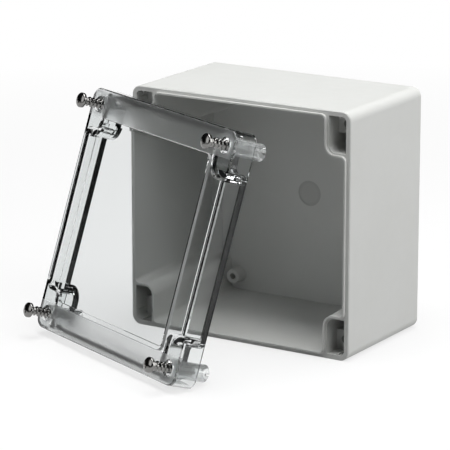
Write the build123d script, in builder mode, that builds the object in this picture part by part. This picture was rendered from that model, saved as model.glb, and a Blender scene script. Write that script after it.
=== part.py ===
from build123d import *
import os

# Wall-mounting electrical enclosure, photographed open: a moulded box with four screw columns,
# and its clear lid standing in front of it, leaning against the box's front left edge.
# Millimetres, +Z up. The box faces -Y; the origin is the middle of the side it rests on.
os.makedirs("parts", exist_ok=True)

# Box, outside
width = 182.0
height = 180.0
depth = 103.0
box_radius = 7.0
back_edge_break = 0.9
rim_edge_break = 0.6

# Box, walls and mould draft
side_wall = 4.2
back_wall = 3.5
cavity_draft = 1.5

# Screw columns: how far each reaches in from the side and from the top or bottom face
column_in_x = 20.1
column_in_z = 32.5
column_radius = 8.4
column_root_radius = 3.0

# Corner pockets inside the columns
pocket_wall = 3.6
column_wall = 2.6
pocket_inner_radius = column_radius - column_wall
pocket_outer_radius = box_radius - pocket_wall
boss_in_z = 18.3
boss_clearance = 0.3
guide_thickness = 1.2
guide_clearance = 0.3
side_guide_in_z = 10.0
end_guide_in_x = 9.0
guide_setback = 1.0

# Lid screw axes, in from the side and from the top or bottom face
screw_in_x = 10.6
screw_in_z = 11.5
pilot_radius = 3.0
pilot_depth = 26.0

# Sealing rib on the rim, and the groove in the lid that drops over it
seal_rib_width = 1.3
seal_rib_height = 2.0
groove_width = 3.4
groove_depth = 3.4
groove_wall = 1.6
gasket_thickness = 2.9
gasket_clearance = 0.05

# Wall fixing holes in the column channels
fixing_in_x = 10.5
fixing_in_z = 24.2
fixing_radius = 2.4

# Standoffs for an inner plate
standoff_in_x = 29.5
standoff_in_z = 19.0
standoff_root_radius = 6.2
standoff_tip_radius = 5.25
standoff_length = 9.5
standoff_hole_radius = 2.4
standoff_hole_depth = 9.0

# Gate disc and ejector marks on the back wall
gate_radius = 8.8
gate_sink = 0.4
ejector_radius = 4.5
ejector_sink = 0.2
ejector_from_centre = ((22.5, Axis.Y), (31.0, Axis.X))

# Lid
lid_radius = 7.5
lid_front_break = 0.8
skirt_depth = 18.4
lid_plate = 3.0
lid_draft = 1.5
window_inset = 20.0
window_rise = 2.5
window_radius = 6.0
window_edge_break = 0.5
window_step = 3.0
sleeve_radius = 6.2
sleeve_reach = 32.3
sleeve_tip_break = 1.2
sleeve_slot_width = 1.5
sleeve_slot_depth = 3.5
counterbore_radius = 5.9
counterbore_depth = 2.3

# Lid screws, backed out of the lid
thread_radius = 3.8
thread_clearance = 0.05
screw_head_radius = 5.5
screw_head_height = 5.5
screw_proud = 12.6
screw_tip_short = 10.3

# How the lid stands: angles of lean and turn in degrees, and where its rear top edge meets the box
lid_lean_angle = 17.48
lid_turn_angle = 23.44
lid_touch_from_left = 21.9
lid_touch_gap = 0.3

# Derived fits
groove_middle = seal_rib_width / 2
groove_outer = groove_middle + groove_width / 2
groove_inner = groove_middle - groove_width / 2
skirt_wall = side_wall - groove_outer
boss_depth = sleeve_reach - skirt_depth + boss_clearance
screw_tip_in = sleeve_reach - screw_tip_short
bore_radius = thread_radius + thread_clearance

# Workplanes, each with +X to the right and +Y up as seen from the front of its piece
rim = Plane(origin=(0, -depth / 2, height / 2), x_dir=(1, 0, 0), z_dir=(0, -1, 0))
rib_top = rim.offset(seal_rib_height)
boss_face = rim.offset(-boss_depth)
back_inside = rim.offset(back_wall - depth)
standoff_face = back_inside.offset(standoff_length)

across = Vector(1, 0, 0).rotate(Axis.Z, -lid_turn_angle)
upslope = Vector(0, 0, 1).rotate(Axis.X, -lid_lean_angle).rotate(Axis.Z, -lid_turn_angle)
outward = across.cross(upslope)
away = Vector(0, -1, 0).rotate(Axis.Z, -lid_turn_angle)
touch_point = Vector(-width / 2, -depth / 2, height * upslope.Z) + away * lid_touch_gap
lid_centre = (
    touch_point
    + across * (width / 2 - lid_touch_from_left)
    - upslope * (height / 2)
    + outward * skirt_depth
)
lid_front = Plane(origin=lid_centre, x_dir=across, z_dir=outward)
lid_rear = lid_front.offset(-skirt_depth)
lid_plate_back = lid_front.offset(-lid_plate)
groove_floor = lid_rear.offset(groove_depth)
sleeve_tips = lid_front.offset(-sleeve_reach)


def corners(in_x, in_z):
    """Four corner positions, given how far in they lie from the side and from the end faces."""
    return GridLocations(width - 2 * in_x, height - 2 * in_z, 2, 2)


def stepped(grow):
    """Mouth of the box with sharp corners, stepped round the four columns, grown by a margin."""
    with BuildSketch(mode=Mode.PRIVATE) as outline:
        Rectangle(width - 2 * side_wall + 2 * grow, height - 2 * side_wall + 2 * grow)
        with GridLocations(width, height, 2, 2):
            Rectangle(2 * (column_in_x - grow), 2 * (column_in_z - grow), mode=Mode.SUBTRACT)
    return outline.sketch


def mouth(grow):
    """The stepped mouth with its corners rounded."""
    with BuildSketch(mode=Mode.PRIVATE) as outline:
        add(stepped(grow))
        fillet(outline.vertices().sort_by_distance((0, 0, 0))[4:], column_root_radius + grow)
        fillet(outline.vertices().sort_by_distance((0, 0, 0))[:4], column_radius - grow)
    return outline.sketch


def mould_core(mouth_plane, grow, reach, slope):
    """Solid that fills the mouth and narrows as it reaches in along the plane's normal."""
    with BuildPart(mode=Mode.PRIVATE) as core:
        with BuildSketch(mouth_plane):
            add(stepped(grow))
        extrude(amount=reach)
        draft(core.faces() - core.faces().filter_by(mouth_plane), mouth_plane, slope)
        long_edges = core.edges() - core.faces().filter_by(mouth_plane).edges()
        fillet(long_edges.sort_by_distance(mouth_plane.origin)[4:], column_root_radius + grow)
        long_edges = core.edges() - core.faces().filter_by(mouth_plane).edges()
        fillet(long_edges.sort_by_distance(mouth_plane.origin)[:4], column_radius - grow)
    return core.part


def corner_pockets():
    """The four corner pockets at the rim, one inside each column."""
    pocket_x = column_in_x - column_wall - pocket_wall
    pocket_z = column_in_z - column_wall - pocket_wall
    with BuildSketch(mode=Mode.PRIVATE) as outline:
        with GridLocations(width - 2 * pocket_wall - pocket_x, height - 2 * pocket_wall - pocket_z, 2, 2):
            Rectangle(pocket_x, pocket_z)
        fillet(outline.vertices().sort_by_distance((0, 0, 0))[12:], pocket_outer_radius)
        fillet(outline.vertices().sort_by_distance((0, 0, 0))[:4], pocket_inner_radius)
    return outline.sketch


# Box: drafted shell with columns, pockets, bosses, sealing rib and standoffs, all one moulding
box_core = mould_core(-rib_top, 0, seal_rib_height + depth - back_wall, cavity_draft)
with BuildPart() as base:
    with BuildSketch(rim.offset(-depth)):
        RectangleRounded(width, height, box_radius)
    extrude(amount=depth)
    chamfer(base.edges().group_by(Axis.Y)[-1], back_edge_break)
    chamfer(base.edges().group_by(Axis.Y)[0], rim_edge_break)

    # The sealing rib is the edge of the core's mouth, standing proud of the rim
    with BuildSketch(rim):
        add(mouth(seal_rib_width))
    extrude(amount=seal_rib_height)
    add(box_core, mode=Mode.SUBTRACT)

    with BuildSketch(rim):
        add(corner_pockets())
    extrude(amount=-boss_depth, mode=Mode.SUBTRACT)

    # Behind the boss face only the inner part of each pocket carries on, as a channel to the back
    with BuildSketch(boss_face):
        add(corner_pockets())
        Rectangle(width, height - 2 * boss_in_z, mode=Mode.INTERSECT)
    extrude(amount=boss_depth + back_wall - depth, mode=Mode.SUBTRACT)

    with Locations(boss_face):
        with corners(screw_in_x, screw_in_z):
            Hole(pilot_radius, depth=pilot_depth)
    with Locations(back_inside):
        with corners(fixing_in_x, fixing_in_z):
            Hole(fixing_radius)

    # Guide ribs that centre the lid's sleeves in the pockets
    side_guide = screw_in_x - sleeve_radius - guide_clearance
    end_guide = screw_in_z - sleeve_radius - guide_clearance
    with BuildSketch(boss_face):
        with GridLocations(width - side_guide, height - 2 * side_guide_in_z, 2, 2):
            Rectangle(side_guide, guide_thickness)
        with GridLocations(width - 2 * end_guide_in_x, height - end_guide, 2, 2):
            Rectangle(guide_thickness, end_guide)
        Rectangle(width - pocket_wall, height - pocket_wall, mode=Mode.INTERSECT)
    extrude(amount=boss_depth - guide_setback)

    with Locations(back_inside):
        with corners(standoff_in_x, standoff_in_z):
            Cone(
                standoff_root_radius,
                standoff_tip_radius,
                standoff_length,
                align=(Align.CENTER, Align.CENTER, Align.MIN),
            )
    with Locations(standoff_face):
        with corners(standoff_in_x, standoff_in_z):
            Hole(standoff_hole_radius, depth=standoff_hole_depth)

    with BuildSketch(back_inside):
        Circle(gate_radius)
    extrude(amount=-gate_sink, mode=Mode.SUBTRACT)
    with BuildSketch(back_inside):
        for distance, line in ejector_from_centre:
            with Locations(line.direction * distance, line.direction * -distance):
                Circle(ejector_radius)
    extrude(amount=-ejector_sink, mode=Mode.SUBTRACT)

base.part.label = "enclosure_base"
export_step(base.part, "parts/enclosure_base.step")

# Lid: clear moulding with a raised window, a skirt, a gasket groove and four screw sleeves
lid_core = mould_core(lid_rear, groove_inner - groove_wall, skirt_depth - lid_plate, lid_draft)
with BuildPart() as lid:
    with BuildSketch(lid_front):
        RectangleRounded(width, height, lid_radius)
    extrude(amount=-skirt_depth)
    chamfer(lid.faces().sort_by(Axis(lid_centre, outward))[-1].edges(), lid_front_break)

    with BuildSketch(lid_front):
        RectangleRounded(width - 2 * window_inset, height - 2 * window_inset, window_radius)
    extrude(amount=window_rise)
    chamfer(lid.faces().sort_by(Axis(lid_centre, outward))[-1].edges(), window_edge_break)

    add(lid_core, mode=Mode.SUBTRACT)
    with BuildSketch(lid_plate_back):
        RectangleRounded(
            width - 2 * window_inset - 2 * window_step,
            height - 2 * window_inset - 2 * window_step,
            window_radius - window_step,
        )
    extrude(amount=window_rise, mode=Mode.SUBTRACT)

    with BuildSketch(lid_rear):
        add(mouth(groove_outer))
        add(mouth(groove_inner), mode=Mode.SUBTRACT)
    extrude(amount=groove_depth, mode=Mode.SUBTRACT)

    # The corners outside the groove are hollow up to the front plate
    with BuildSketch(lid_rear):
        RectangleRounded(width - 2 * skirt_wall, height - 2 * skirt_wall, lid_radius - skirt_wall)
        add(mouth(groove_outer + groove_wall), mode=Mode.SUBTRACT)
    extrude(amount=skirt_depth - lid_plate, mode=Mode.SUBTRACT)

    with BuildSketch(lid_plate_back):
        with corners(screw_in_x, screw_in_z):
            Circle(sleeve_radius)
    extrude(amount=lid_plate - sleeve_reach)
    chamfer(lid.faces().sort_by(Axis(lid_centre, outward))[:4].edges(), sleeve_tip_break)
    with BuildSketch(sleeve_tips):
        with corners(screw_in_x, screw_in_z):
            Rectangle(2 * sleeve_radius, sleeve_slot_width)
    extrude(amount=sleeve_slot_depth, mode=Mode.SUBTRACT)
    with Locations(lid_front):
        with corners(screw_in_x, screw_in_z):
            CounterBoreHole(bore_radius, counterbore_radius, counterbore_depth)

lid.part.label = "lid"
export_step(lid.part, "parts/lid.step")

# Gasket: soft strip lying on the floor of the lid's groove
with BuildPart() as gasket:
    with BuildSketch(groove_floor):
        add(mouth(groove_outer - gasket_clearance))
        add(mouth(groove_inner + gasket_clearance), mode=Mode.SUBTRACT)
    extrude(amount=-gasket_thickness)

gasket.part.label = "lid_gasket"
export_step(gasket.part, "parts/lid_gasket.step")

# Lid screws: the envelope of the thread and of the head, all backed out alike
screw_corners = {
    "lid_screw_top_left": (-1, 1),
    "lid_screw_top_right": (1, 1),
    "lid_screw_bottom_left": (-1, -1),
    "lid_screw_bottom_right": (1, -1),
}
for screw_name, (side, level) in screw_corners.items():
    seat = Plane(lid_front.location * Pos(side * (width / 2 - screw_in_x), level * (height / 2 - screw_in_z)))
    with BuildPart() as screw:
        with BuildSketch(seat.offset(-screw_tip_in)):
            Circle(thread_radius)
        extrude(amount=screw_tip_in + screw_proud)
        with BuildSketch(seat.offset(screw_proud)):
            Circle(screw_head_radius)
        extrude(amount=screw_head_height)
    screw.part.label = screw_name
    export_step(screw.part, f"parts/{screw_name}.step")
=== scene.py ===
# %% [markdown]
# # An open junction box and its clear lid
# The object is a light-grey moulded box for a wall. Its clear lid leans on the front left edge, and
# four stainless screws stand backed out of the lid's corners. The shapes come from a CAD model that
# is already packed, so this lesson dresses them: it adds the camera, the finishes, real screw
# threads, a floor and soft studio light. Every length here is in metres, on the CAD model's axes.

import math

import bmesh
import bpy
from mathutils import Matrix, Vector


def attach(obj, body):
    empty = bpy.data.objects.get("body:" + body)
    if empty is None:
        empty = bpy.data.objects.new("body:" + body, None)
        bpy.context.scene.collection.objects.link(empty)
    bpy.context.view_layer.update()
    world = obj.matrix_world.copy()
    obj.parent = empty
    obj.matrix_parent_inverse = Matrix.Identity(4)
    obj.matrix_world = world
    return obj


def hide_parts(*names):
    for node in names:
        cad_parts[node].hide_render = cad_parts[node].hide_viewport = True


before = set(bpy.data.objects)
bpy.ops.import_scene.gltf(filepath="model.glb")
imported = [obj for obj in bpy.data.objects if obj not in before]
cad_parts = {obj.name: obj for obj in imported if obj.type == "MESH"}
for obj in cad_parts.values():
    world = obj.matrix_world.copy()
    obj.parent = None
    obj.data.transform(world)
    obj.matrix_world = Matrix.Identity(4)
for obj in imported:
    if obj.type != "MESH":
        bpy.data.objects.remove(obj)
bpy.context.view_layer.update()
box_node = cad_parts["enclosure_base"]
lid_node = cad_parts["lid"]
scene = bpy.context.scene
scene.view_settings.view_transform = "Standard"
MM = 0.001
print("CAD nodes:", sorted(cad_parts))

# %% [markdown]
# ## Camera
# The picture was taken with a long lens, from the right of the box and a little above it. The box's
# straight edges gave its place: about two metres away, turned 32 degrees and tilted 15 degrees down.
# A long focal length at a real distance keeps the edges almost parallel, which a short lens can't do.

# %% Camera at the picture's viewing angle
IMAGE_WIDTH = 450
CAMERA_PLACE = Vector((1.02266, -1.69534, 0.59186))
CAMERA_TURN = math.radians(32.18)
CAMERA_TILT = math.radians(14.60)
FOCAL_PIXELS = 2797

camera_data = bpy.data.cameras.new("camera")
camera_data.sensor_width = 36
camera_data.lens = FOCAL_PIXELS / IMAGE_WIDTH * camera_data.sensor_width
camera_data.clip_end = 20
camera = bpy.data.objects.new("camera", camera_data)
scene.collection.objects.link(camera)
camera.location = CAMERA_PLACE
camera.rotation_euler = (math.pi / 2 - CAMERA_TILT, 0, CAMERA_TURN)
scene.camera = camera
print("lens:", round(camera_data.lens, 1), "mm at", [round(c, 3) for c in CAMERA_PLACE], "m")

# %% [markdown]
# ## Helpers for the finishes
# A finish is a small network of nodes. One function adds a node, sets its values and makes its
# links, and another turns an sRGB hex colour into the linear numbers that the renderer works with.

# %% Colour and node helpers
def linear(code):
    """An sRGB hex colour, such as "d8d8d6", as linear red, green, blue and alpha."""
    values = [int(code[i : i + 2], 16) / 255 for i in (0, 2, 4)]
    return [v / 12.92 if v <= 0.04045 else ((v + 0.055) / 1.055) ** 2.4 for v in values] + [1.0]


def add_node(material, kind, inputs=None, **settings):
    """Adds a node. A value in inputs is set on its socket, and another node's socket is linked to it."""
    made = material.node_tree.nodes.new(kind)
    for name, value in settings.items():
        setattr(made, name, value)
    for name, value in (inputs or {}).items():
        if isinstance(value, bpy.types.NodeSocket):
            material.node_tree.links.new(value, made.inputs[name])
        else:
            made.inputs[name].default_value = value
    return made


def new_finish(name):
    """An empty material and its output node."""
    material = bpy.data.materials.new(name)
    material.use_nodes = True
    material.node_tree.nodes.clear()
    return material, add_node(material, "ShaderNodeOutputMaterial")


def per_metre(size_in_mm):
    """A noise scale whose blobs are about this size in millimetres."""
    return 1 / (size_in_mm * MM)


print("mid grey in linear light:", round(linear("808080")[0], 3))

# %% [markdown]
# ## Box: moulded polycarbonate, light grey
# Boxes like this are injection moulded in glass-filled polycarbonate. The mould is spark eroded, so
# the skin is evenly matt with a grain of a third of a millimetre, and the melt leaves faint broad
# clouds where it flowed. Handling polishes and marks it here and there. Noise at those three sizes
# drives the bump, the colour and the roughness. A plain grey would look like paper.

# %% Grey polycarbonate: grain, flow clouds and handling
GRAIN_MM = 0.35
FLOW_CLOUD_MM = 55
HANDLING_MM = 9

grey_plastic, output = new_finish("moulded_polycarbonate_grey")
where = add_node(grey_plastic, "ShaderNodeTexCoord").outputs["Object"]
grain = add_node(
    grey_plastic, "ShaderNodeTexNoise", {"Vector": where, "Scale": per_metre(GRAIN_MM), "Detail": 2.0}
)
clouds = add_node(
    grey_plastic,
    "ShaderNodeTexNoise",
    {"Vector": where, "Scale": per_metre(FLOW_CLOUD_MM), "Detail": 3.0},
)
handling = add_node(
    grey_plastic, "ShaderNodeTexNoise", {"Vector": where, "Scale": per_metre(HANDLING_MM), "Detail": 6.0}
)
grey = add_node(
    grey_plastic,
    "ShaderNodeMixRGB",
    {"Fac": clouds.outputs["Fac"], "Color1": linear("c8c9c6"), "Color2": linear("cfd0ce")},
)
print("grain, handling and flow in mm:", GRAIN_MM, HANDLING_MM, FLOW_CLOUD_MM)

# %% [markdown]
# ## Gate mark in the grey plastic
# The back wall's inside has a shallow gate disc in its middle, and the grey is drawn darker there,
# most of all at its rim. An image could paint it. Here the tone fills a ball that meets the wall's
# inside only at the mark and stops before the wall's outside, so the mark is right from every side.

# %% Gate mark on the back wall's inside
GATE_RADIUS = 8.8 * MM
GATE_EDGE = 0.9 * MM
GATE_FLOOR_Y = 48.4 * MM
BALL_TO_FLOOR = 18.4 * MM
BOX_MIDDLE_Z = 90 * MM
GATE_TONE = 0.19
GATE_EDGE_TONE = 0.28

gate_reach = math.hypot(BALL_TO_FLOOR, GATE_RADIUS)
ball_centre = Vector((0, GATE_FLOOR_Y - BALL_TO_FLOOR, BOX_MIDDLE_Z))
from_gate = add_node(
    grey_plastic, "ShaderNodeVectorMath", {0: where, 1: ball_centre}, operation="DISTANCE"
)
on_gate = add_node(
    grey_plastic, "ShaderNodeMath", {0: from_gate.outputs["Value"], 1: gate_reach}, operation="LESS_THAN"
)
gate_tone = add_node(
    grey_plastic,
    "ShaderNodeMapRange",
    {
        "Value": from_gate.outputs["Value"],
        "From Min": gate_reach - GATE_EDGE,
        "From Max": gate_reach,
        "To Min": GATE_TONE,
        "To Max": GATE_EDGE_TONE,
    },
)
gate_share = add_node(
    grey_plastic,
    "ShaderNodeMath",
    {0: on_gate.outputs["Value"], 1: gate_tone.outputs["Result"]},
    operation="MULTIPLY",
)
marked_grey = add_node(
    grey_plastic,
    "ShaderNodeMixRGB",
    {"Fac": gate_share.outputs["Value"], "Color1": grey.outputs["Color"], "Color2": linear("3a3a39")},
)
print("gate ball reaches", round(gate_reach / MM, 1), "mm")

# %% Grey skin
sheen_range = add_node(
    grey_plastic,
    "ShaderNodeMapRange",
    {"Value": handling.outputs["Fac"], "From Min": 0.3, "From Max": 0.7, "To Min": 0.44, "To Max": 0.56},
)
grain_bump = add_node(
    grey_plastic,
    "ShaderNodeBump",
    {"Height": grain.outputs["Fac"], "Strength": 0.12, "Distance": 0.05 * MM},
)
grey_skin = add_node(
    grey_plastic,
    "ShaderNodeBsdfPrincipled",
    {
        "Base Color": marked_grey.outputs["Color"],
        "Roughness": sheen_range.outputs["Result"],
        "Normal": grain_bump.outputs["Normal"],
        "IOR": 1.58,
    },
)
grey_plastic.node_tree.links.new(grey_skin.outputs["BSDF"], output.inputs["Surface"])
print("box finish:", grey_plastic.name, "grain scale", round(per_metre(GRAIN_MM)))

# %% [markdown]
# ## Where the lid stands
# The lid's own axes place its frosted frame and its screws: across it, up its slope and outward
# through its window. They come from two angles, how far it is turned from the box and how far it
# leans back.

# %% The lid's axes
LEAN = math.radians(17.48)
TURN = math.radians(23.44)
LID_WIDTH = 182 * MM
LID_HEIGHT = 180 * MM
SKIRT_DEPTH = 18.4 * MM
BOX_DEPTH = 103 * MM
TOUCH_FROM_LEFT = 21.9 * MM
TOUCH_GAP = 0.3 * MM
SCREW_IN_X = 10.6 * MM
SCREW_IN_Z = 11.5 * MM

across = Vector((math.cos(TURN), -math.sin(TURN), 0))
upslope = Vector(
    (math.sin(TURN) * math.sin(LEAN), math.cos(TURN) * math.sin(LEAN), math.cos(LEAN))
)
outward = across.cross(upslope)
away = Vector((-math.sin(TURN), -math.cos(TURN), 0))
touch = Vector((-LID_WIDTH / 2, -BOX_DEPTH / 2, LID_HEIGHT * math.cos(LEAN))) + away * TOUCH_GAP
lid_centre = (
    touch + across * (LID_WIDTH / 2 - TOUCH_FROM_LEFT) - upslope * LID_HEIGHT / 2 + outward * SKIRT_DEPTH
)


def lid_place(x, y):
    """A matrix that carries a shape built on +Z to that point of the lid's front, pointing outward."""
    turned = Matrix((across, upslope, outward)).transposed().to_4x4()
    return Matrix.Translation(lid_centre + across * x + upslope * y) @ turned


print("lid centre in mm:", [round(c / MM, 1) for c in lid_centre])

# %% [markdown]
# ## Lid: clear polycarbonate
# The lid is moulded in the same plastic without the pigment, against polished steel. It bends light
# strongly (index 1.585), so its thick rails show bright and dark streaks while the thin window is
# almost invisible. The polish isn't perfect: a slow ripple of about a centimetre and a light haze.
# The frame above and below the raised window has a fine matt texture, so what is behind it blurs.
# The thick corners round the screw sleeves and the window's outer edge are partly white: painted
# light in the corners, a painted highlight on the edge. The specular tint holds the mirror image of
# the white ground down: in the picture the lid mirrors a darker room, and the black gasket shows deep
# through its side wall.

# %% Clear polycarbonate: ripple and haze
RIPPLE_MM = 12
HAZE_MM = 4

clear_plastic, output = new_finish("moulded_polycarbonate_clear")
where = add_node(clear_plastic, "ShaderNodeTexCoord").outputs["Object"]
ripple = add_node(
    clear_plastic, "ShaderNodeTexNoise", {"Vector": where, "Scale": per_metre(RIPPLE_MM), "Detail": 1.0}
)
haze = add_node(
    clear_plastic, "ShaderNodeTexNoise", {"Vector": where, "Scale": per_metre(HAZE_MM), "Detail": 5.0}
)
haze_range = add_node(
    clear_plastic,
    "ShaderNodeMapRange",
    {"Value": haze.outputs["Fac"], "From Min": 0.35, "From Max": 0.75, "To Min": 0.01, "To Max": 0.05},
)
print("ripple and haze in mm:", RIPPLE_MM, HAZE_MM)

# %% Frosted frame above and below the window
FROST_MM = 0.8
FROST_FROM = -0.1 * MM
FROST_TO = 2.3 * MM
WINDOW_HALF_HEIGHT = 70 * MM

frost = add_node(
    clear_plastic, "ShaderNodeTexNoise", {"Vector": where, "Scale": per_metre(FROST_MM), "Detail": 3.0}
)
frost_range = add_node(
    clear_plastic,
    "ShaderNodeMapRange",
    {"Value": frost.outputs["Fac"], "From Min": 0.3, "From Max": 0.7, "To Min": 0.3, "To Max": 0.38},
)


def along_axis(axis):
    """How far the lid's surface lies along a direction."""
    along = add_node(clear_plastic, "ShaderNodeVectorMath", {0: where, 1: axis}, operation="DOT_PRODUCT")
    return along.outputs["Value"]


def between_heights(low, high):
    """1 where the surface lies between two heights over the lid's front, 0 elsewhere."""
    band = {0: along_axis(outward), 1: lid_centre.dot(outward) + (low + high) / 2, 2: (high - low) / 2}
    return add_node(clear_plastic, "ShaderNodeMath", band, operation="COMPARE").outputs["Value"]


def off_middle(axis):
    """How far the lid's surface lies from its middle, along one of its axes."""
    from_middle = {0: along_axis(axis), 1: lid_centre.dot(axis)}
    offset = add_node(clear_plastic, "ShaderNodeMath", from_middle, operation="SUBTRACT")
    distance = {0: offset.outputs["Value"]}
    return add_node(clear_plastic, "ShaderNodeMath", distance, operation="ABSOLUTE").outputs["Value"]


up_or_down = off_middle(upslope)
past_window = add_node(
    clear_plastic, "ShaderNodeMath", {0: up_or_down, 1: WINDOW_HALF_HEIGHT}, operation="GREATER_THAN"
)
frosted = add_node(
    clear_plastic,
    "ShaderNodeMath",
    {0: between_heights(FROST_FROM, FROST_TO), 1: past_window.outputs["Value"]},
    operation="MULTIPLY",
)
print("frost past", round(WINDOW_HALF_HEIGHT / MM), "mm from the window's middle")

# %% Painted light on the corners and a painted highlight on the window edge
# The corners round the screw sleeves get painted light and the window's outer edge a painted highlight:
# the clear plastic turns partly white there, so the lamps light it.
FROST_MILK = 0.05
CORNER_PAINTED_LIGHT = 0.16
CORNER_LIGHT_FROM = 5.5 * MM
CORNER_LIGHT_TO = 11 * MM
EDGE_HIGHLIGHT_FROM = 0.3 * MM
EDGE_HIGHLIGHT_TO = 2.3 * MM
EDGE_PAINTED_HIGHLIGHT = 0.5

on_slope = add_node(clear_plastic, "ShaderNodeCombineXYZ", {"X": off_middle(across), "Y": up_or_down})
sleeve_axis = Vector((LID_WIDTH / 2 - SCREW_IN_X, LID_HEIGHT / 2 - SCREW_IN_Z, 0))
from_sleeve = add_node(
    clear_plastic,
    "ShaderNodeVectorMath",
    {0: on_slope.outputs["Vector"], 1: sleeve_axis},
    operation="DISTANCE",
)
# Painted light: the corners round the screw sleeves turn partly white, most near the sleeve.
painted_corner_light = add_node(
    clear_plastic,
    "ShaderNodeMapRange",
    {
        "Value": from_sleeve.outputs["Value"],
        "From Min": CORNER_LIGHT_FROM,
        "From Max": CORNER_LIGHT_TO,
        "To Min": CORNER_PAINTED_LIGHT,
        "To Max": 0.0,
    },
)
frost_milk = add_node(
    clear_plastic, "ShaderNodeMath", {0: frosted.outputs["Value"], 1: FROST_MILK}, operation="MULTIPLY"
)
frost_and_painted_corner_light = add_node(
    clear_plastic,
    "ShaderNodeMath",
    {0: painted_corner_light.outputs["Result"], 1: frost_milk.outputs["Value"]},
    operation="ADD",
)
# The frost's milk plus the painted corner light and a painted highlight along the window's outer edge.
frost_and_painted_light = add_node(
    clear_plastic,
    "ShaderNodeMath",
    {0: between_heights(EDGE_HIGHLIGHT_FROM, EDGE_HIGHLIGHT_TO), 1: EDGE_PAINTED_HIGHLIGHT, 2: frost_and_painted_corner_light.outputs["Value"]},
    operation="MULTIPLY_ADD",
)
clearness = add_node(
    clear_plastic, "ShaderNodeMath", {0: 1.0, 1: frost_and_painted_light.outputs["Value"]}, operation="SUBTRACT"
)
print("milk in the corners", CORNER_PAINTED_LIGHT, "and on the edge", EDGE_PAINTED_HIGHLIGHT)

# %% Clear skin
matt_or_clear = add_node(
    clear_plastic,
    "ShaderNodeMix",
    {
        "Factor": frosted.outputs["Value"],
        "A": haze_range.outputs["Result"],
        "B": frost_range.outputs["Result"],
    },
)
ripple_bump = add_node(
    clear_plastic,
    "ShaderNodeBump",
    {"Height": ripple.outputs["Fac"], "Strength": 0.2, "Distance": 0.03 * MM},
)
clear_skin = add_node(
    clear_plastic,
    "ShaderNodeBsdfPrincipled",
    {
        "Base Color": linear("f2f4f4"),
        "Roughness": matt_or_clear.outputs["Result"],
        "Normal": ripple_bump.outputs["Normal"],
        "IOR": 1.585,
        "Specular Tint": linear("8f8f8f"),
        "Transmission Weight": clearness.outputs["Value"],
    },
)
clear_plastic.node_tree.links.new(clear_skin.outputs["BSDF"], output.inputs["Surface"])
print("lid finish:", clear_plastic.name)

# %% [markdown]
# ## Gasket: black foamed rubber
# The strip in the lid's groove is closed-cell foam, cast in place. Its skin is dull and dark with
# cells of a few tenths of a millimetre, drawn here at half a millimetre so that they show.

# %% Black foamed rubber
CELL_MM = 0.5

foam_rubber, output = new_finish("foamed_rubber_black")
where = add_node(foam_rubber, "ShaderNodeTexCoord").outputs["Object"]
cells = add_node(foam_rubber, "ShaderNodeTexVoronoi", {"Vector": where, "Scale": per_metre(CELL_MM)})
foam_tone = add_node(
    foam_rubber,
    "ShaderNodeMixRGB",
    {"Fac": cells.outputs["Distance"], "Color1": linear("0b0b0b"), "Color2": linear("181818")},
)
cell_bump = add_node(
    foam_rubber,
    "ShaderNodeBump",
    {"Height": cells.outputs["Distance"], "Strength": 0.4, "Distance": 0.1 * MM},
)
foam_skin = add_node(
    foam_rubber,
    "ShaderNodeBsdfPrincipled",
    {
        "Base Color": foam_tone.outputs["Color"],
        "Roughness": 0.75,
        "Normal": cell_bump.outputs["Normal"],
        "IOR": 1.5,
    },
)
foam_rubber.node_tree.links.new(foam_skin.outputs["BSDF"], output.inputs["Surface"])
print("gasket finish:", foam_rubber.name)

# %% [markdown]
# ## Screws: stainless steel, cold headed and rolled
# The screws are plain stainless steel. The head is stamped and the thread is rolled, so both are
# smooth, with fine scratches along them. Steel is a metal: it has no colour of its own but a grey
# reflection. Here that grey is painted darker than bare stainless to match the dark screws, a painted
# shade for dark surroundings, and the roughness is that of a worn polish, 0.1 to 0.22.

# %% Stainless steel
SCRATCH_MM = 0.6

stainless, output = new_finish("stainless_steel_rolled")
where = add_node(stainless, "ShaderNodeTexCoord").outputs["Object"]
scratches = add_node(
    stainless, "ShaderNodeTexNoise", {"Vector": where, "Scale": per_metre(SCRATCH_MM), "Detail": 4.0}
)
polish = add_node(
    stainless,
    "ShaderNodeMapRange",
    {"Value": scratches.outputs["Fac"], "From Min": 0.3, "From Max": 0.7, "To Min": 0.1, "To Max": 0.22},
)
# Painted shade: the steel's grey is darker than bare stainless, and the scratches vary it.
scratched_steel_painted_shade = add_node(
    stainless,
    "ShaderNodeMixRGB",
    {"Fac": scratches.outputs["Fac"], "Color1": linear("727170"), "Color2": linear("8c8b89")},
)
steel_skin = add_node(
    stainless,
    "ShaderNodeBsdfPrincipled",
    {"Base Color": scratched_steel_painted_shade.outputs["Color"], "Roughness": polish.outputs["Result"], "Metallic": 1.0},
)
stainless.node_tree.links.new(steel_skin.outputs["BSDF"], output.inputs["Surface"])
print("screw finish:", stainless.name)

# %% Put the finishes on the CAD nodes
for cad_node, finish in ((box_node, grey_plastic), (lid_node, clear_plastic)):
    cad_node.data.materials.clear()
    cad_node.data.materials.append(finish)
    print(cad_node.name, "is", finish.name)

# %% [markdown]
# ## Gasket bead
# The foam is poured into the lid's groove and rises out of it, so the real strip is a bead with a
# domed crown that stands a millimetre proud of the lid's rear face. Its path runs round the box's
# mouth and steps in at each screw column. The section is carried along that path.

# %% Path of the groove round the mouth
GROOVE_MIDDLE_X = 87.45 * MM
GROOVE_MIDDLE_Y = 86.45 * MM
COLUMN_X = 71.55 * MM
COLUMN_Y = 58.15 * MM
OUTER_TURN = 3.65 * MM
COLUMN_TURN = 7.75 * MM
POINTS_PER_TURN = 7


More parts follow.
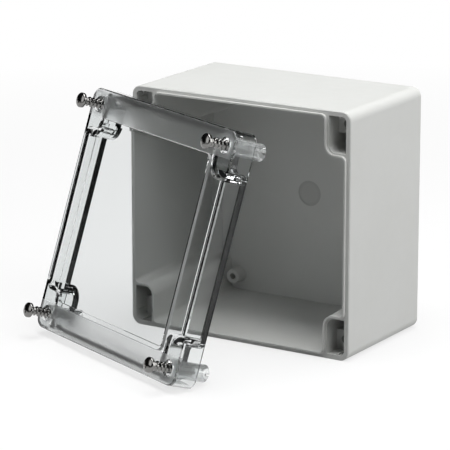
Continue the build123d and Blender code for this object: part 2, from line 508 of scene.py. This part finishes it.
def turn(centre, radius, start, sweep):
    """Points of a quarter turn with their outward directions, seen from the lid's front."""
    made = []
    for k in range(POINTS_PER_TURN):
        angle = math.radians(start + sweep * k / (POINTS_PER_TURN - 1))
        ray = Vector((math.cos(angle), math.sin(angle)))
        made.append((Vector(centre) + ray * radius, ray if sweep > 0 else -ray))
    return made


def groove_path():
    """The middle of the groove, once round, as points and outward directions."""
    quarter = turn((GROOVE_MIDDLE_X - OUTER_TURN, COLUMN_Y - OUTER_TURN), OUTER_TURN, 0, 90)
    quarter += turn((COLUMN_X + COLUMN_TURN, COLUMN_Y + COLUMN_TURN), COLUMN_TURN, 270, -90)
    quarter += turn((COLUMN_X - OUTER_TURN, GROOVE_MIDDLE_Y - OUTER_TURN), OUTER_TURN, 0, 90)
    path = []
    for flip_x, flip_y in ((1, 1), (-1, 1), (-1, -1), (1, -1)):
        flip = Vector((flip_x, flip_y))
        part = [(point * flip, normal * flip) for point, normal in quarter]
        path += part if flip_x == flip_y else part[::-1]
    return path


# %% The bead itself
GROOVE_DEPTH = 3.4 * MM
BEAD_HALF_WIDTH = 1.65 * MM
BEAD_GAP = 0.05 * MM
CROWN = 1.1 * MM
CROWN_STEPS = 8
BEAD_CREASE = math.radians(40)

section = [(BEAD_HALF_WIDTH, BEAD_GAP - GROOVE_DEPTH)]
for k in range(CROWN_STEPS + 1):
    swing = math.pi * k / CROWN_STEPS
    section.append((BEAD_HALF_WIDTH * math.cos(swing), CROWN * math.sin(swing)))
section.append((-BEAD_HALF_WIDTH, BEAD_GAP - GROOVE_DEPTH))

bead_shape = bmesh.new()
rows = []
for point, normal in groove_path():
    row = []
    for offset, proud in section:
        flat = point + normal * offset
        row.append(bead_shape.verts.new((flat.x, flat.y, -SKIRT_DEPTH - proud)))
    rows.append(row)
for low, high in zip(rows, rows[1:] + rows[:1]):
    for i in range(len(section)):
        j = (i + 1) % len(section)
        bead_shape.faces.new((low[i], low[j], high[j], high[i]))
bmesh.ops.recalc_face_normals(bead_shape, faces=bead_shape.faces)
bead_mesh = bpy.data.meshes.new("gasket_bead")
bead_shape.to_mesh(bead_mesh)
bead_shape.free()
for polygon in bead_mesh.polygons:
    polygon.use_smooth = True
bead_mesh.set_sharp_from_angle(angle=BEAD_CREASE)
bead_mesh.materials.append(foam_rubber)
bead = bpy.data.objects.new("gasket_bead", bead_mesh)
scene.collection.objects.link(bead)
bead.matrix_world = lid_place(0, 0)
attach(bead, "lid")
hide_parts("lid_gasket")
print("bead:", len(bead_mesh.polygons), "faces")

# %% [markdown]
# ## Lid screws
# Each screw has a domed head with a cross recess, a coned underside and a coarse thread that bites
# into plastic. The thread is one sheet of rings whose radius rises and falls with the pitch as the
# ring turns, and fades into the core at both ends. The cross is cut from the head with a boolean,
# because a recess needs clean inner walls.

# %% Screw sizes
THREAD_RADIUS = 3.75 * MM
CORE_RADIUS = 2.55 * MM
PITCH = 3.2 * MM
HEAD_RADIUS = 5.5 * MM
UNDERSIDE = 12.6 * MM
HEAD_EDGE_START = 14.6 * MM
HEAD_EDGE_END = 16.2 * MM
DOME_TOP = 18.1 * MM
TIP = -22.0 * MM
POINT_LENGTH = 4.0 * MM
THREAD_SIDES = 32
THREAD_ROWS_PER_PITCH = 12
CROSS_LENGTH = 6.0 * MM
CROSS_WIDTH = 1.3 * MM
CROSS_DEPTH = 2.6 * MM
CROSS_TAPER = 0.6
CREST_SHARE = 0.55
CREST_POWER = 0.8
THREAD_STOP = 0.6 * MM
RUN_OUT_PITCHES = 0.6
TIP_CORE = 0.35
TIP_POWER = 0.7
TIP_THREAD_RISE = 1.2
SCREW_CREASE = math.radians(38)


def thread_radius(height, angle):
    """Radius of the thread's surface at a height above the lid's front and an angle."""
    along = ((height / PITCH - angle / (2 * math.pi)) % 1.0) * 2 - 1
    crest = max(0.0, 1 - abs(along) / CREST_SHARE) ** CREST_POWER
    point = min(1.0, max(0.0, (height - TIP) / POINT_LENGTH))
    run_out = min(1.0, max(0.0, (UNDERSIDE - THREAD_STOP - height) / (RUN_OUT_PITCHES * PITCH)))
    core = CORE_RADIUS * (TIP_CORE + (1 - TIP_CORE) * point**TIP_POWER)
    rise = min(point * TIP_THREAD_RISE, 1.0)
    return core + (THREAD_RADIUS - CORE_RADIUS) * crest * rise * run_out


def rings_to_mesh(name, rings):
    """A closed mesh through rings of points, capped at both ends."""
    shape = bmesh.new()
    rows = [[shape.verts.new(p) for p in ring] for ring in rings]
    count = len(rows[0])
    for low, high in zip(rows, rows[1:]):
        for i in range(count):
            j = (i + 1) % count
            shape.faces.new((low[i], low[j], high[j], high[i]))
    shape.faces.new(list(reversed(rows[0])))
    shape.faces.new(rows[-1])
    bmesh.ops.recalc_face_normals(shape, faces=shape.faces)
    mesh = bpy.data.meshes.new(name)
    shape.to_mesh(mesh)
    shape.free()
    return mesh


def ring(height, radius_at, sides=THREAD_SIDES):
    """One ring of points at a height, its radius a function of the angle."""
    angles = [2 * math.pi * i / sides for i in range(sides)]
    return [(radius_at(a) * math.cos(a), radius_at(a) * math.sin(a), height) for a in angles]


# %% One screw mesh, threads and head together
NECK = (CORE_RADIUS * 1.12, UNDERSIDE + 0.05 * MM)
CONE_TOP = (HEAD_RADIUS * 0.93, HEAD_EDGE_START - 0.1 * MM)
EDGE_LOW = (HEAD_RADIUS * 0.985, HEAD_EDGE_START + 0.15 * MM)
EDGE_HIGH = (HEAD_RADIUS * 0.995, HEAD_EDGE_END - 0.3 * MM)
DOME_FROM = 8
DOME_SWEEP = 80
DOME_STEPS = 8


def screw_mesh():
    """The whole screw in its own axes, +Z out of the lid."""
    rows = int((UNDERSIDE - TIP) / PITCH * THREAD_ROWS_PER_PITCH)
    heights = [TIP + (UNDERSIDE - TIP) * k / rows for k in range(rows + 1)]
    rings = [ring(h, lambda a, h=h: thread_radius(h, a)) for h in heights]
    head = [NECK, CONE_TOP, EDGE_LOW, EDGE_HIGH]
    for k in range(DOME_STEPS + 1):
        swing = math.radians(DOME_FROM + k * DOME_SWEEP / DOME_STEPS)
        height = HEAD_EDGE_END + (DOME_TOP - HEAD_EDGE_END) * math.sin(swing)
        head.append((HEAD_RADIUS * math.cos(swing), height))
    rings += [ring(z, lambda a, r=r: r) for r, z in head]
    return rings_to_mesh("screw_blank", rings)


# %% Cross recess
def cross_cutter():
    """A tapered cross, as deep as the driver's recess."""
    shape = bmesh.new()
    for length, width in ((CROSS_LENGTH, CROSS_WIDTH), (CROSS_WIDTH, CROSS_LENGTH)):
        made = bmesh.ops.create_cube(shape, size=1.0)["verts"]
        for vert in made:
            taper = 1.0 if vert.co.z > 0 else CROSS_TAPER
            vert.co.x *= length * taper
            vert.co.y *= width * taper
            vert.co.z = DOME_TOP - CROSS_DEPTH if vert.co.z < 0 else DOME_TOP + MM
    mesh = bpy.data.meshes.new("cross_cutter")
    shape.to_mesh(mesh)
    shape.free()
    return mesh


def cut(blank, cutter):
    """The blank mesh with the cutter taken out of it."""
    blank_object = bpy.data.objects.new("blank", blank)
    cutter_object = bpy.data.objects.new("cutter", cutter)
    scene.collection.objects.link(blank_object)
    scene.collection.objects.link(cutter_object)
    boolean = blank_object.modifiers.new("cross", "BOOLEAN")
    boolean.object = cutter_object
    boolean.operation = "DIFFERENCE"
    boolean.solver = "EXACT"
    boolean.use_self = True
    bpy.context.view_layer.update()
    graph = bpy.context.evaluated_depsgraph_get()
    result = bpy.data.meshes.new_from_object(blank_object.evaluated_get(graph))
    bpy.data.objects.remove(blank_object)
    bpy.data.objects.remove(cutter_object)
    return result


screw_shape = cut(screw_mesh(), cross_cutter())
for polygon in screw_shape.polygons:
    polygon.use_smooth = True
screw_shape.set_sharp_from_angle(angle=SCREW_CREASE)
print("one screw has", len(screw_shape.polygons), "faces")

# %% Four screws in the lid's corners
sides = {"left": -1, "right": 1}
levels = {"top": 1, "bottom": -1}
for corner in ("top_left", "top_right", "bottom_left", "bottom_right"):
    level_name, side_name = corner.split("_")
    side, level = sides[side_name], levels[level_name]
    screw = bpy.data.objects.new(f"threaded_screw_{corner}", screw_shape.copy())
    scene.collection.objects.link(screw)
    screw.matrix_world = lid_place(
        side * (LID_WIDTH / 2 - SCREW_IN_X), level * (LID_HEIGHT / 2 - SCREW_IN_Z)
    )
    screw.data.materials.clear()
    screw.data.materials.append(stainless)
    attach(screw, f"screw_{corner}")
    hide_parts(f"lid_screw_{corner}")
    print(screw.name, "at", [round(c / MM, 1) for c in screw.matrix_world.translation])

# %% [markdown]
# ## Floor, white to the eye
# The picture has a white ground that keeps only the soft shadows beside the box and the lid. The
# floor could be white paper under brighter lamps, but that would put more light on the object. So it
# is a matt grey card with a glow that only three kinds of ray see: one from the camera, one that a
# shiny surface mirrors and one that clear plastic lets through. Metal and plastic then show the same
# white ground as the eye does, and matt light meets the grey card alone.

# %% Rays that see the white ground
def shows_background(material):
    """1 for a camera ray and for one that a shiny or clear surface sends on, 0 for matt light."""
    ray = add_node(material, "ShaderNodeLightPath")
    straight = {0: ray.outputs["Is Camera Ray"], 1: ray.outputs["Is Transmission Ray"]}
    eye = add_node(material, "ShaderNodeMath", straight, operation="MAXIMUM")
    mirrored = {0: eye.outputs["Value"], 1: ray.outputs["Is Glossy Ray"]}
    return add_node(material, "ShaderNodeMath", mirrored, operation="MAXIMUM").outputs["Value"]


# %% Pale floor
FLOOR_SIZE = 60.0
FLOOR_GLOW = 0.7
WHITE_FROM = 0.4
WHITE_TO = 1.0
FIBRE_MM = 2.0

floor_card, output = new_finish("matt_grey_card")
where = add_node(floor_card, "ShaderNodeTexCoord").outputs["Object"]
fibres = add_node(
    floor_card, "ShaderNodeTexNoise", {"Vector": where, "Scale": per_metre(FIBRE_MM), "Detail": 3.0}
)
card_bump = add_node(
    floor_card,
    "ShaderNodeBump",
    {"Height": fibres.outputs["Fac"], "Strength": 0.02, "Distance": 0.1 * MM},
)
card = add_node(
    floor_card,
    "ShaderNodeBsdfDiffuse",
    {"Color": linear("858585"), "Normal": card_bump.outputs["Normal"]},
)
glow = add_node(floor_card, "ShaderNodeEmission", {"Color": linear("ffffff"), "Strength": FLOOR_GLOW})
lifted = add_node(
    floor_card, "ShaderNodeAddShader", {0: card.outputs["BSDF"], 1: glow.outputs["Emission"]}
)
reach = add_node(floor_card, "ShaderNodeVectorMath", {0: where}, operation="LENGTH")
away_from_object = add_node(
    floor_card,
    "ShaderNodeMapRange",
    {"Value": reach.outputs["Value"], "From Min": WHITE_FROM, "From Max": WHITE_TO},
)
far_white = add_node(floor_card, "ShaderNodeEmission", {"Color": linear("ffffff"), "Strength": 1.0})
seen_floor = add_node(
    floor_card,
    "ShaderNodeMixShader",
    {
        0: away_from_object.outputs["Result"],
        1: lifted.outputs["Shader"],
        2: far_white.outputs["Emission"],
    },
)
ground = add_node(
    floor_card,
    "ShaderNodeMixShader",
    {0: shows_background(floor_card), 1: card.outputs["BSDF"], 2: seen_floor.outputs["Shader"]},
)
floor_card.node_tree.links.new(ground.outputs["Shader"], output.inputs["Surface"])

# %% Floor mesh, just under the box
FLOOR_DROP = 0.2 * MM

floor_mesh = bpy.data.meshes.new("floor")
half = FLOOR_SIZE / 2
corners = [(-half, -half, 0), (half, -half, 0), (half, half, 0), (-half, half, 0)]
floor_mesh.from_pydata(corners, [], [(0, 1, 2, 3)])
floor_mesh.materials.append(floor_card)
floor = bpy.data.objects.new("floor", floor_mesh)
floor.location.z = -FLOOR_DROP
scene.collection.objects.link(floor)
print("floor:", FLOOR_SIZE, "m square")

# %% [markdown]
# ## Studio light
# The top of the box is its brightest face, its right side a little darker, and the inside falls into
# shade. Four soft boxes give that: a strong one overhead, one low at the right behind the box, one
# high at the right and a weak one at the left in front. The room around them is one dim colour for
# every ray, so the steel, the rubber and the clear rails have deep tones between their highlights.

# %% Dim room
ROOM_LEVEL = 0.01

world = bpy.data.worlds.new("studio")
scene.world = world
world.use_nodes = True
world.node_tree.nodes.clear()
room_output = add_node(world, "ShaderNodeOutputWorld")
room = add_node(world, "ShaderNodeBackground", {"Color": linear("ffffff"), "Strength": ROOM_LEVEL})
world.node_tree.links.new(room.outputs["Background"], room_output.inputs["Surface"])
print("room level:", ROOM_LEVEL)

# %% Soft boxes
SOFT_BOX_SIDE = 1.2
LIT_POINT = Vector((0, 0, 0.1))


def soft_box(name, place, watts):
    """A square area lamp at a place, turned to the middle of the object."""
    lamp_data = bpy.data.lights.new(name, "AREA")
    lamp_data.shape = "RECTANGLE"
    lamp_data.size = SOFT_BOX_SIDE
    lamp_data.size_y = SOFT_BOX_SIDE
    lamp_data.energy = watts
    lamp = bpy.data.objects.new(name, lamp_data)
    lamp.location = place
    lamp.rotation_euler = (LIT_POINT - Vector(place)).to_track_quat("-Z", "Y").to_euler()
    scene.collection.objects.link(lamp)
    print(name, watts, "W")


soft_box("overhead_soft_box", (0, 0, 1.7), 30)
soft_box("right_rear_soft_box", (1.7, 0.5, 0.4), 16)
soft_box("right_soft_box", (1.1, -0.3, 1.3), 12.5)
soft_box("left_front_soft_box", (-0.9, -1.3, 0.9), 7)

# %% [markdown]
# ## Last update of the scene
# The dressed object may not outgrow its CAD model.

# %% Update the view layer
bpy.context.view_layer.update()
